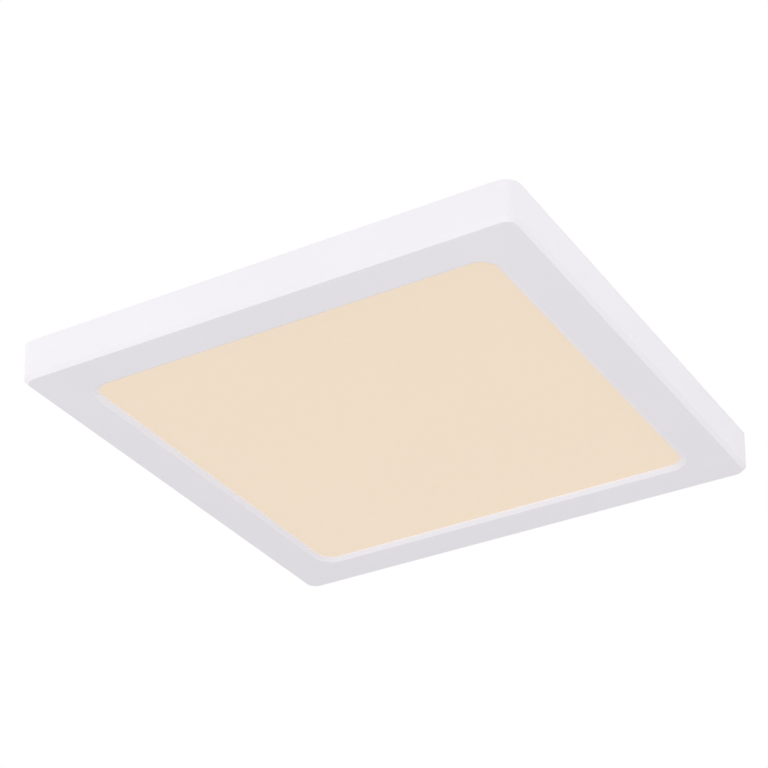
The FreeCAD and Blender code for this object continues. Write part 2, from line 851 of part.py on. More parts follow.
def make_driver_case():
    """A moulded tray with an ear at each end, board posts and ports for the leads."""
    case = new_body("driver_case")
    outline = sketch(case)
    driver_outline(outline, "0", "driver_corner")
    pad(case, outline, "driver_tall - driver_lid")
    inside = sketch(case, offset="driver_tall - driver_lid")
    driver_outline(inside, "driver_wall", "driver_corner - driver_wall")
    pocket(case, inside, "driver_tall - driver_lid - driver_wall")

    ears = sketch(case)
    root, end = "(%s - ear_root)" % HALF_LONG, "(%s + driver_ear)" % HALF_LONG
    rectangle(ears, "-" + end, "-" + root, "-driver_ear_half", "driver_ear_half")
    rectangle(ears, root, end, "-driver_ear_half", "driver_ear_half")
    pad(case, ears, "driver_wall")
    posts = sketch(case, offset="driver_wall")
    for x in ("-post_out", "post_out"):
        for y in ("-post_across", "post_across"):
            circle(posts, x, y, "post_radius")
    pad(case, posts, "post_tall")
    holes = sketch(case, offset="driver_wall")
    for x in ("-(%s + driver_ear / 2)" % HALF_LONG, HALF_LONG + " + driver_ear / 2"):
        circle(holes, x, "0", "rivet_radius")
    pocket(case, holes, "driver_wall")

    ports = sketch(case, "YZ_Plane", offset="-" + HALF_LONG)
    for y in MAINS_LEADS.values():
        circle(ports, y, "port_height", "lead_radius")
    pocket(case, ports, "driver_wall", up=True)
    outlets = sketch(case, "YZ_Plane", offset=HALF_LONG)
    for y in LED_LEADS.values():
        circle(outlets, y, "port_height", "led_lead_radius")
    pocket(case, outlets, "driver_wall")
    on_cover(keep(case, "driver_case"))


def make_driver_lid():
    """A flat lid with a sunken panel, whose skirt drops into the tray."""
    lid = new_body("driver_lid")
    outline = sketch(lid, offset="driver_tall - driver_lid")
    driver_outline(outline, "0", "driver_corner")
    top = pad(lid, outline, "driver_lid")
    fillet(lid, top, "lid_round", flat_at("driver_tall"))
    panel = sketch(lid, offset="driver_tall")
    long, wide = "lid_panel_long / 2", "lid_panel_wide / 2"
    rounded_rectangle(panel, "-" + long, long, "-" + wide, wide, "skirt_corner")
    pocket(lid, panel, "lid_panel_deep")
    skirt = sketch(lid, offset="driver_tall - driver_lid")
    driver_outline(skirt, "driver_wall + lid_play", "skirt_corner")
    driver_outline(skirt, "driver_wall + lid_play + skirt_thick", "skirt_corner")
    pad(lid, skirt, "skirt_deep", down=True)
    on_cover(keep(lid, "driver_lid"))


def make_driver_rivets():
    """The two rivets that hold the case's ears to the cover."""
    foot = "-cover_thick - rivet_foot_tall"
    rivet = turned("driver_rivet_master", [
        ("0", foot),
        ("rivet_foot", foot),
        ("rivet_foot", "-cover_thick"),
        ("rivet_radius", "-cover_thick"),
        ("rivet_radius", "driver_wall"),
        ("rivet_head", "driver_wall"),
        ("rivet_foot", "driver_wall + rivet_head_tall"),
        ("0", "driver_wall + rivet_head_tall"),
    ])
    copies("driver_rivets", rivet, [(x, y, COVER_TOP) for x, y, _ in COVER_FIXINGS[:2]])


def upon_board(label, x0, x1, y0, y1, tall, radius):
    """A block that stands on the driver's board."""
    return brick(label, (x0, x1), (y0, y1), (BOARD_TOP, "%s + %s" % (BOARD_TOP, tall)), radius)


def make_driver_board():
    """The board and its components, from the mains end at -X to the low-voltage end at +X."""
    board = brick(
        "driver_board",
        ("-driver_board_long / 2", "driver_board_long / 2"),
        ("-driver_board_wide / 2", "driver_board_wide / 2"),
        (BOARD_SEAT, BOARD_TOP),
        radius="driver_board_corner",
    )
    on_cover(keep(board, "driver_board"))
    for label, block in BOARD_BLOCKS.items():
        on_cover(keep(upon_board(label, *block), label))
    on_cover(joined("driver_terminals", [upon_board(label, *b) for label, b in WIRE_BLOCKS.items()]))

    cans = []
    for x, y in CANS:
        can = doc.addObject("Part::Cylinder", "capacitor_can")
        bind(can, "Radius", "can_radius")
        bind(can, "Height", "can_long")
        cans.append(place(can, x, y, BOARD_TOP + " + can_radius", turn=90, about=ALONG_Y))
    on_cover(joined("electrolytic_capacitors", cans))

    choke = turned("choke", [
        ("0", "0"),
        ("choke_radius", "0"),
        ("choke_radius", "choke_flange"),
        ("choke_waist", "choke_flange"),
        ("choke_waist", "choke_tall - choke_flange"),
        ("choke_radius", "choke_tall - choke_flange"),
        ("choke_radius", "choke_tall"),
        ("0", "choke_tall"),
    ])
    place(keep(choke, "choke"), CHOKE[0], "-driver_back + " + CHOKE[1], COVER_TOP + " + " + BOARD_TOP)

    fuse = turned("fuse", [
        ("0", "0"),
        ("fuse_radius", "0"),
        ("fuse_radius", "fuse_cap"),
        ("fuse_glass", "fuse_cap"),
        ("fuse_glass", "fuse_long - fuse_cap"),
        ("fuse_radius", "fuse_long - fuse_cap"),
        ("fuse_radius", "fuse_long"),
        ("0", "fuse_long"),
    ])
    middle = COVER_TOP + " + " + BOARD_TOP + " + fuse_radius"
    place(keep(fuse, "fuse"), FUSE[0], "-driver_back + " + FUSE[1], middle, turn=90, about=ALONG_Y)


def make_transformer():
    """A flat ferrite core with two windows, and the wound bobbin round its middle leg."""
    square = ("-core_half", "core_half")
    core = brick("transformer_core", square, square, (CORE_LOW, CORE_HIGH))
    window = sketch(core, offset=CORE_HIGH)
    rectangle(window, "-window_half_long", "window_half_long", "-window_far", "-core_leg_half")
    rectangle(window, "-window_half_long", "window_half_long", "core_leg_half", "window_far")
    pocket(core, window, "core_tall")
    on_cover(keep(core, "transformer_core"))

    bobbin = upon_board(
        "transformer_bobbin", "-winding_half_long", "winding_half_long",
        "-winding_half_wide", "winding_half_wide", "winding_tall", "winding_corner",
    )
    leg = sketch(bobbin, "YZ_Plane", offset="-winding_half_long")
    rectangle(leg, "-core_leg_half", "core_leg_half", CORE_LOW, CORE_HIGH)
    pocket(bobbin, leg, "winding_half_long * 2", up=True)
    on_cover(keep(bobbin, "transformer_bobbin"))


# ---------------------------------------------------------------- terminal block

WAYS = {"line": "-way_pitch", "neutral": "0", "earth": "way_pitch"}
CHAMBER_TOP = "(terminal_tall - button_deep - button_travel)"


def on_terminal_spot(piece, x=0, turn=0):
    """Set a piece, drawn about the block's own middle, where the block stands on the cover."""
    return place(piece, x, "-terminal_back", COVER_TOP, turn)


def make_terminal():
    """A three-way block. A wire goes in at its front, +Y, and the light's own leads at its back."""
    body = new_body("terminal_body")
    outline = sketch(body)
    end, side = "terminal_long / 2", "terminal_wide / 2"
    rounded_rectangle(outline, "-" + end, end, "-" + side, side, "terminal_corner")
    pad(body, outline, "terminal_tall")
    ear = sketch(body)
    rectangle(
        ear,
        "-(%s + terminal_ear)" % end, "-(%s - ear_root)" % end,
        "-terminal_ear_half", "terminal_ear_half",
    )
    pad(body, ear, "terminal_ear_thick")
    hole = sketch(body, offset="terminal_ear_thick")
    circle(hole, "-(%s + terminal_ear / 2)" % end, "0", "small_screw")
    pocket(body, hole, "terminal_ear_thick")

    wells = sketch(body, offset="terminal_tall")
    chambers = sketch(body, offset=CHAMBER_TOP)
    front = sketch(body, "XZ_Plane", offset="-" + side)
    back = sketch(body, "XZ_Plane", offset=side)
    for x in WAYS.values():
        rectangle(
            wells,
            x + " - button_long / 2 - button_play", x + " + button_long / 2 + button_play",
            "button_front - button_wide - button_play", "button_front + button_play",
        )
        rectangle(chambers, x + " - chamber_half", x + " + chamber_half", "-chamber_back", "chamber_front")
        circle(front, x, "wire_height", "wire_entry")
        circle(back, x, "wire_height", "lead_radius")
    pocket(body, wells, "button_deep + button_travel + overrun")
    pocket(body, chambers, CHAMBER_TOP + " - terminal_floor")
    pocket(body, front, side + " - chamber_front + overrun", up=True)
    pocket(body, back, side + " - chamber_back + overrun")
    on_terminal_spot(keep(body, "terminal_body"))

    bars = []
    for name, x in WAYS.items():
        bar = new_body("contact_" + name)
        profile = sketch(bar, "YZ_Plane")
        polygon(profile, [
            ("-chamber_back", "terminal_floor"),
            ("chamber_front", "terminal_floor"),
            ("chamber_front", "terminal_floor + contact_thick"),
            ("-chamber_back + contact_thick", "terminal_floor + contact_thick"),
            ("-chamber_back + contact_thick", "wire_height + lead_radius + contact_lip"),
            ("-chamber_back", "wire_height + lead_radius + contact_lip"),
        ])
        pad(bar, profile, "contact_half * 2", middle=True)
        bars.append(place(bar, x))
    on_terminal_spot(joined("terminal_contacts", bars))

    for name, x in WAYS.items():
        make_button(name, x)
        make_clamp_spring(name, x)

    long = "terminal_ear_thick + cover_thick + screw_tail"
    screw = pan_screw("terminal_screw", "small_screw", "small_screw_head", "small_screw_head_tall", long)
    x, y, _ = COVER_FIXINGS[2]
    place(keep(screw, "terminal_screw"), x, y, COVER_TOP + " + terminal_ear_thick")


def make_button(name, x):
    """A push button with a groove for a screwdriver's tip."""
    top = "terminal_tall + button_proud"
    button = brick(
        "button_" + name,
        ("-button_long / 2", "button_long / 2"),
        ("button_front - button_wide", "button_front"),
        ("terminal_tall - button_deep", top),
        radius="button_corner",
    )
    chamfer(button, button.Tip, "button_edge", flat_at(top))
    groove = sketch(button, offset=top)
    middle = "button_front - button_wide / 2"
    rectangle(
        groove,
        "-groove_half_long", "groove_half_long",
        middle + " - groove_half_wide", middle + " + groove_half_wide",
    )
    pocket(button, groove, "groove_deep")
    on_terminal_spot(keep(button, "button_" + name), x)


def make_clamp_spring(name, x):
    """A bent leaf: it stands on the contact, humps up under the button and slants down onto the wire."""
    heel = size("contact_thick + clamp_heel_gap - chamber_back")
    floor = size("terminal_floor + contact_thick")
    roof = size(CHAMBER_TOP + " - clamp_gap")
    points = [
        (heel, floor + size("clamp_gap")),
        (heel, roof),
        (size("clamp_shoulder"), roof),
        (size("clamp_hump"), size("terminal_tall - button_deep - clamp_hump_gap")),
        (size("clamp_tip"), floor + size("clamp_tip_gap")),
    ]
    radii = [size("clamp_heel_round"), size("clamp_shoulder_round"), size("clamp_hump_round")]
    leaf = strip(points, radii, size("clamp_thick"), size("clamp_wide"), side=-1)
    on_terminal_spot(shaped("clamp_spring_" + name, leaf), x, turn=90)


def make_earth():
    """The ring tag of the earth lead, and the screw that holds it to the cover."""
    x, y, _ = COVER_FIXINGS[3]
    tag = new_body("earth_tag")
    ring = sketch(tag)
    circle(ring, "0", "0", "tag_radius")
    circle(ring, "0", "0", "earth_screw")
    pad(tag, ring, "tag_thick")
    neck = sketch(tag)
    rectangle(
        neck,
        "-tag_neck_half", "tag_neck_half",
        "-(tag_radius + tag_neck_long)", "-(tag_radius - tag_neck_root)",
    )
    pad(tag, neck, "tag_thick")
    barrel = sketch(tag, "XZ_Plane", offset="tag_radius + tag_barrel_out")
    circle(barrel, "0", "tag_barrel", "tag_barrel")
    pad(tag, barrel, "tag_barrel_long")
    place(keep(tag, "earth_tag"), x, y, COVER_TOP)

    long = "tag_thick + cover_thick + screw_tail"
    screw = pan_screw("earth_screw", "earth_screw", "earth_screw_head", "earth_screw_head_tall", long)
    place(keep(screw, "earth_screw"), x, y, COVER_TOP + " + tag_thick")


# ---------------------------------------------------------------- mounting plate

def make_mounting_plate():
    """The flanged steel plate that is screwed to the ceiling."""
    body = new_body("mounting_plate")
    outline = sketch(body)
    end, side = "plate_long / 2", "plate_wide / 2"
    rounded_rectangle(outline, "-" + end, end, "-" + side, side, "plate_corner")
    pad(body, outline, "plate_thick", down=True)
    flanges = sketch(body, offset="-plate_thick")
    inner = "(%s - plate_thick)" % side
    rectangle(flanges, "-flange_half", "flange_half", inner, side)
    rectangle(flanges, "-flange_half", "flange_half", "-" + side, "-" + inner)
    walls = pad(body, flanges, "flange_tall", down=True)
    fillet(body, walls, "flange_round", flange_root(size(inner)))

    dish = sketch(body, offset="-plate_thick * 2")
    circle(dish, "0", "0", "grommet_flange + plate_thick * 2")
    pad(body, dish, "plate_thick")
    seat = sketch(body)
    circle(seat, "0", "0", "grommet_flange + plate_thick")
    pocket(body, seat, "plate_thick")
    bore = sketch(body)
    circle(bore, "0", "0", "grommet_seat")
    pocket(body, bore, "plate_thick * 2")

    slots = sketch(body)
    for middle in ("-slot_middle", "slot_middle"):
        rounded_slot(slots, middle + " - slot_long / 2", middle + " + slot_long / 2", "slot_radius")
    pocket(body, slots, "plate_thick")
    rows = ["-plate_bead_across", "plate_bead_across"]
    stamp_beads(body, "-plate_thick", "0", rows, "plate_bead_reach")
    holes = sketch(body)
    for x in ("-screw_hole_out", "screw_hole_out"):
        for y in ("-screw_hole_across", "screw_hole_across"):
            circle(holes, x, y, "slot_radius")
    for x, y in clip_rivet_spots():
        circle(holes, x, y, "clip_rivet_radius")
    cut = pocket(body, holes, "plate_thick")
    chamfer(body, cut, "clip_rivet_sink", rivet_rim(size("clip_rivet_radius")))
    return keep(body, "mounting_plate")


def flange_root(inner):
    """A test for the long edge where a flange leaves the plate, on its inner side."""
    at_plate = flat_at("-plate_thick")
    long = size("flange_half")

    def test(edge):
        box = edge.BoundBox
        return at_plate(edge) and abs(abs(box.YMin) - inner) < SAME and box.XLength > long
    return test


def rivet_rim(radius):
    """A test for a rivet hole's rim on the ceiling side."""
    at_ceiling = flat_at("0")

    def test(edge):
        box = edge.BoundBox
        return at_ceiling(edge) and max(abs(box.XLength - 2 * radius), abs(box.YLength - 2 * radius)) < SAME
    return test


def clip_rivet_spots():
    """Two rivets at each end of the plate."""
    return [
        (x, y)
        for x in ("-clip_rivet_out", "clip_rivet_out")
        for y in ("-clip_rivet_across", "clip_rivet_across")
    ]


def make_plate_fittings():
    """The cable's soft ring in the plate's dish, and the rivets of the spring clips."""
    low = "-plate_thick * 2"
    grommet = turned("cable_grommet", [
        ("cable_radius", low + " - grommet_lip"),
        ("grommet_flange - grommet_round", low + " - grommet_lip"),
        ("grommet_flange", low + " - grommet_lip + grommet_round"),
        ("grommet_flange", low),
        ("grommet_seat", low),
        ("grommet_seat", "-plate_thick"),
        ("grommet_flange", "-plate_thick"),
        ("grommet_flange", "-plate_thick + grommet_lip"),
        ("cable_radius", "-plate_thick + grommet_lip"),
    ])
    keep(grommet, "cable_grommet")

    below = "-plate_thick - clip_thick"
    rivet = turned("clip_rivet_master", [
        ("0", below + " - clip_rivet_head_tall"),
        ("clip_rivet_radius + clip_rivet_sink", below + " - clip_rivet_head_tall"),
        ("clip_rivet_head", below),
        ("clip_rivet_radius", below),
        ("clip_rivet_radius", "-clip_rivet_sink"),
        ("clip_rivet_radius + clip_rivet_sink", "0"),
        ("0", "0"),
    ])
    copies("clip_rivets", rivet, [(x, y, 0) for x, y in clip_rivet_spots()])


def make_spring_clips():
    """A bent leaf at each end of the plate. Its nose's upper flank passes just under the lower inner
    edge of the frame's ledge and carries it."""
    top, thick = -size("plate_thick"), size("clip_thick")
    slope, nose = size("clip_slope"), size("clip_nose")
    leg = size("ledge_reach - clip_inset")
    shoulder = size("clip_slope * clip_inset - ledge_low - clip_gap")
    points = [
        (size("clip_inner_end"), top),
        (leg, top),
        (leg, shoulder),
        (leg + nose, shoulder - slope * nose),
        (leg + size("clip_tip_out"), -size("clip_tip_low")),
    ]
    radii = [size("clip_bend_round"), size("clip_nose_round"), size("clip_nose_round")]
    for name, turn in (("spring_clip_right", 0), ("spring_clip_left", 180)):
        leaf = strip(points, radii, thick, size("clip_wide"), side=-1)
        for x, y in clip_rivet_spots():
            if size(x) > 0:
                low = V(size(x), size(y), top - 2 * thick)
                leaf = leaf.cut(Part.makeCylinder(size("clip_rivet_radius"), 3 * thick, low))
        place(shaped(name, leaf), turn=turn)


# ---------------------------------------------------------------- leads

# Where a mains lead's loop ends, and the row it takes back past the driver, as x and y
MAINS_LOOPS = {"line": (-98, -56.2), "neutral": (-91, -60.4)}


def make_leads():
    """Each lead runs from a port in the driver's end to its terminal, with room above the cover."""
    cover = size(COVER_TOP)
    port = cover + size("port_height")
    low = cover + size("wire_height")
    row = -size("driver_back")
    entry = -size("terminal_back + chamber_back")
    block = size("driver_board_long / 2")
    # the mains pair turns back in two nested loops
    for name, (loop, channel) in MAINS_LOOPS.items():
        y = row + size(MAINS_LEADS[name])
        x = size(WAYS[name])
        lead("lead_" + name, [
            (-block, y, port),
            (-block - 10, y, port),
            (loop - 1, y + 3, port - 1),
            (loop, channel - 2, low + 0.6),
            (loop + 22, channel, low),
            (x, channel + 0.3, low),
            (x, entry, low),
        ], size("lead_radius"))
    tag_x = size("earth_out")
    barrel = cover + size("tag_barrel")
    way = size(WAYS["earth"])
    lead("lead_earth", [
        (way, entry, low),
        (way, -56, low),
        (tag_x - 12, -61, low - 0.3),
        (tag_x, -60.5, barrel),
        (tag_x, -size("earth_back + tag_radius + tag_barrel_out + tag_barrel_long"), barrel),
    ], size("lead_radius"))

    # the low-voltage pair: points of its middle line, and half of what parts the two leads there
    hole = size("lead_hole_out")
    plug = size(BEZEL_TOP + " + plug_lift + plug_tall / 2")
    middle = [
        ((block, row, port), (0, 2)),
        ((block + 10, row, port), (0, 2)),
        ((block + 25, row - 1, port - 1.8), (0.1, 1.7)),
        ((113, -104, cover + 2.6), (0.55, 1)),
        ((125.4, -120.6, cover + 3.4), (0.86, 0.6)),
        ((hole, -hole, cover + 5.6), (0.92, 0.3)),
        ((hole, -hole, plug), (0.92, 0.3)),
        ((hole, -size("plug_front"), plug), (0.92, 0)),
    ]
    for name, side in (("positive", 1), ("negative", -1)):
        points = [(x + side * dx, y + side * dy, z) for (x, y, z), (dx, dy) in middle]
        lead("lead_led_" + name, points, size("led_lead_radius"))


def make_lead_fittings():
    """What holds the low-voltage pair: a ring in the cover, the plug at the boards and an arch."""
    face, lip = "cover_thick / 2", "cover_thick / 2 + lead_ring_lip"
    ring = turned("lead_grommet", [
        ("lead_ring_bore", "-(%s)" % lip),
        ("lead_ring_flange", "-(%s)" % lip),
        ("lead_ring_flange", "-" + face),
        ("lead_hole", "-" + face),
        ("lead_hole", face),
        ("lead_ring_flange", face),
        ("lead_ring_flange", lip),
        ("lead_ring_bore", lip),
    ])
    place(keep(ring, "lead_grommet"), "lead_hole_out", "-lead_hole_out", COVER_TOP + " - cover_thick / 2")

    near, low = "rib_half + rib_thick + plug_gap", BEZEL_TOP + " + plug_lift"
    block = brick(
        "connector_block",
        (near, near + " + plug_wide"),
        ("-plug_front", "-plug_front + plug_long"),
        (low, low + " + plug_tall"),
    )
    tail = doc.addObject("Part::Box", "board_tail")
    for name, expression in (("Length", "tail_long"), ("Width", "tail_wide"), ("Height", "jumper_thick")):
        bind(tail, name, expression)
    place(
        tail,
        "rib_half - board_play",
        "-(notch_near + notch_far + tail_wide) / 2",
        BOARD_LOW + " + (board_tall - jumper_thick) / 2",
    )
    joined("board_connector", [block, tail])

    clip = brick(
        "lead_clip",
        ("-lead_clip_half", "lead_clip_half"),
        ("-lead_clip_reach", "lead_clip_reach"),
        ("0", "lead_clip_tall"),
        radius="lead_clip_corner",
    )
    tunnel = sketch(clip, "YZ_Plane", offset="-lead_clip_half")
    rectangle(tunnel, "-tunnel_half", "tunnel_half", "tunnel_low", "tunnel_high")
    pocket(clip, tunnel, "lead_clip_half * 2", up=True)
    turn = size("lead_clip_turn")
    place(keep(clip, "lead_clip"), "lead_clip_out", "-lead_clip_back", COVER_TOP, turn)


make_frame()
make_stack()
make_boards()
make_jumpers()
make_cover()
make_driver_case()
make_driver_lid()
make_driver_rivets()
make_driver_board()
make_transformer()
make_terminal()
make_earth()
make_mounting_plate()
make_plate_fittings()
make_spring_clips()
make_leads()
make_lead_fittings()
doc.recompute()

for thing in doc.Objects:
    if {"Invalid", "Error"} & set(thing.State):
        sys.exit("%s could not be computed: %s" % (thing.Label, thing.State))
labels = [piece.Label for piece in PIECES]
if len(set(labels)) != len(labels):
    sys.exit("two pieces share a name")
for piece in PIECES:
    shape = piece.Shape
    if shape.isNull() or not shape.isValid() or not shape.Solids:
        sys.exit(piece.Label + " has no sound solid")
    shape.exportStep("parts/%s.step" % piece.Label)
    box = shape.BoundBox
    print("%-24s %d solids %9.2f mm3  x %.2f..%.2f  y %.2f..%.2f  z %.2f..%.2f" % (
        piece.Label, len(shape.Solids), shape.Volume,
        box.XMin, box.XMax, box.YMin, box.YMax, box.ZMin, box.ZMax))
print(len(PIECES), "pieces")
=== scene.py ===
"""Square edge-lit flush mount ceiling light, dressed for the camera.

Metres, with +Z up and the ceiling at z = 0.
"""

import math

import bpy
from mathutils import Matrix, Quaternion, Vector


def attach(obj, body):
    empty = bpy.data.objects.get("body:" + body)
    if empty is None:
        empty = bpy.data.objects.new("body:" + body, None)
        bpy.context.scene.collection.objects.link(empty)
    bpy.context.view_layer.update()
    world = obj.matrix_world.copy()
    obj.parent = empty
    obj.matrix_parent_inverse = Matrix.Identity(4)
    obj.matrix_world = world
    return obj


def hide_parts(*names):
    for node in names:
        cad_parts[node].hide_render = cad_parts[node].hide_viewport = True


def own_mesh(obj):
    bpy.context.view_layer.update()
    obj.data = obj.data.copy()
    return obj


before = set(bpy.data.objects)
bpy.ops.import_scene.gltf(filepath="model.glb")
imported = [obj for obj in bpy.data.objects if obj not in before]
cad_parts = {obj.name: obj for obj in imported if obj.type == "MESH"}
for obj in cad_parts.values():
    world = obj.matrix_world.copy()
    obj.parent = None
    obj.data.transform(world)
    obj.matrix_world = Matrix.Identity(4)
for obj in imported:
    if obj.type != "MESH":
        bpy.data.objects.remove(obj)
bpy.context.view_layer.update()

MM = 0.001
SIDES = ("front", "right", "rear", "left")
WAYS = ("line", "neutral", "earth")

# ---------------------------------------------------------------- camera, floor and light

CAMERA_AT = Vector((0.5273, -0.9358, -0.6408))
CAMERA_AIM = Vector((0.0083, -0.0299, -0.0118))
CAMERA_ROLL = math.radians(0.629)
# Both in millimetres
CAMERA_LENS = 104.48
SENSOR_WIDTH = 36
# How far the camera sees, past the floor's far corners
SIGHT = 200.0

FLOOR_Z = -1.6
FLOOR_HALF = 60.0
FLOOR_COLOR = (0.92, 0.92, 0.925)
FLOOR_ROUGHNESS = 0.9
FLOOR_SPECULAR = 0.2
# How far the floor, where it is seen, is lifted from its lit colour to white
FLOOR_LIFT = 0.7

WORLD_LEVEL = 0.708
WHITE_LEVEL = 1
# name, place, width, height and watts; each lamp faces the origin
LAMPS = (
    ("key", (-1.25, -2.0, -0.25), 1.0, 0.6, 14.4),
    ("side", (1.2, -0.3, -0.25), 0.5, 0.4, 3.15),
    ("fill", (0.155, -1.01, -1.165), 0.62, 0.62, 1.2),
)


def put(name, data):
    """A new object in the scene."""
    made = bpy.data.objects.new(name, data)
    bpy.context.scene.collection.objects.link(made)
    return made


def make_camera():
    """The photo's viewing angle and framing."""
    data = bpy.data.cameras.new("photo_camera")
    data.lens = CAMERA_LENS
    data.sensor_width = SENSOR_WIDTH
    data.clip_end = SIGHT
    camera = put("photo_camera", data)
    camera.location = CAMERA_AT
    level = (CAMERA_AIM - CAMERA_AT).to_track_quat("-Z", "Y")
    camera.rotation_mode = "QUATERNION"
    camera.rotation_quaternion = level @ Quaternion((0, 0, 1), -CAMERA_ROLL)
    bpy.context.scene.camera = camera


def seen_directly(tree):
    """1 on rays from the camera, a mirror or glass, and 0 on the rays that light things."""
    path = tree.nodes.new("ShaderNodeLightPath")
    found = path.outputs["Is Camera Ray"]
    for kind in ("Is Glossy Ray", "Is Transmission Ray"):
        either = tree.nodes.new("ShaderNodeMath")
        either.operation = "MAXIMUM"
        tree.links.new(found, either.inputs[0])
        tree.links.new(path.outputs[kind], either.inputs[1])
        found = either.outputs[0]
    return found


def mixed(tree, factor, first, second):
    """The first shader where the factor is 0 and the second where it is 1."""
    mix = tree.nodes.new("ShaderNodeMixShader")
    for socket, source in zip(mix.inputs, (factor, first, second)):
        tree.links.new(source, socket)
    return mix.outputs[0]


def background(tree, level):
    """A white world light."""
    light = tree.nodes.new("ShaderNodeBackground")
    light.inputs["Color"].default_value = (1, 1, 1, 1)
    light.inputs["Strength"].default_value = level
    return light.outputs[0]


def make_world():
    """White where it is seen, and a plain soft light elsewhere."""
    world = bpy.data.worlds.new("studio")
    world.use_nodes = True
    tree = world.node_tree
    tree.nodes.clear()
    light = background(tree, WORLD_LEVEL)
    white = background(tree, WHITE_LEVEL)
    out = tree.nodes.new("ShaderNodeOutputWorld")
    tree.links.new(mixed(tree, seen_directly(tree), light, white), out.inputs["Surface"])
    bpy.context.scene.world = world


def floor_material():
    """A pale matt finish, lifted part of the way to white where it is seen, so shadows stay."""
    material = bpy.data.materials.new("floor")
    material.use_nodes = True
    tree = material.node_tree
    shader = tree.nodes["Principled BSDF"]
    shader.inputs["Base Color"].default_value = (*FLOOR_COLOR, 1)
    shader.inputs["Roughness"].default_value = FLOOR_ROUGHNESS
    shader.inputs["Specular IOR Level"].default_value = FLOOR_SPECULAR
    white = tree.nodes.new("ShaderNodeEmission")
    white.inputs["Strength"].default_value = WHITE_LEVEL
    share = tree.nodes.new("ShaderNodeMath")
    share.operation = "MULTIPLY"
    share.inputs[1].default_value = FLOOR_LIFT
    tree.links.new(seen_directly(tree), share.inputs[0])
    both = mixed(tree, share.outputs[0], shader.outputs[0], white.outputs[0])
    tree.links.new(both, tree.nodes["Material Output"].inputs["Surface"])
    return material


def make_floor():
    """A square floor below the light."""
    ways = ((-1, -1), (1, -1), (1, 1), (-1, 1))
    corners = [(x * FLOOR_HALF, y * FLOOR_HALF, FLOOR_Z) for x, y in ways]
    mesh = bpy.data.meshes.new("floor")
    mesh.from_pydata(corners, [], [(0, 1, 2, 3)])
    mesh.materials.append(floor_material())
    floor = put("floor", mesh)


def make_lamps():
    """Soft rectangular lamps round the front of the light."""
    for name, place, width, height, watts in LAMPS:
        data = bpy.data.lights.new(name, "AREA")
        data.shape = "RECTANGLE"
        data.size = width
        data.size_y = height
        data.energy = watts
        lamp = put(name, data)
        lamp.location = place
        lamp.rotation_mode = "QUATERNION"
        lamp.rotation_quaternion = (-Vector(place)).to_track_quat("-Z", "Y")


# ---------------------------------------------------------------- materials

# The part of a noise's 0 to 1 over which roughness changes, and the part over which colour does
NOISE_SPAN = (0.3, 0.7)
COLOR_SPAN = (0.35, 0.65)


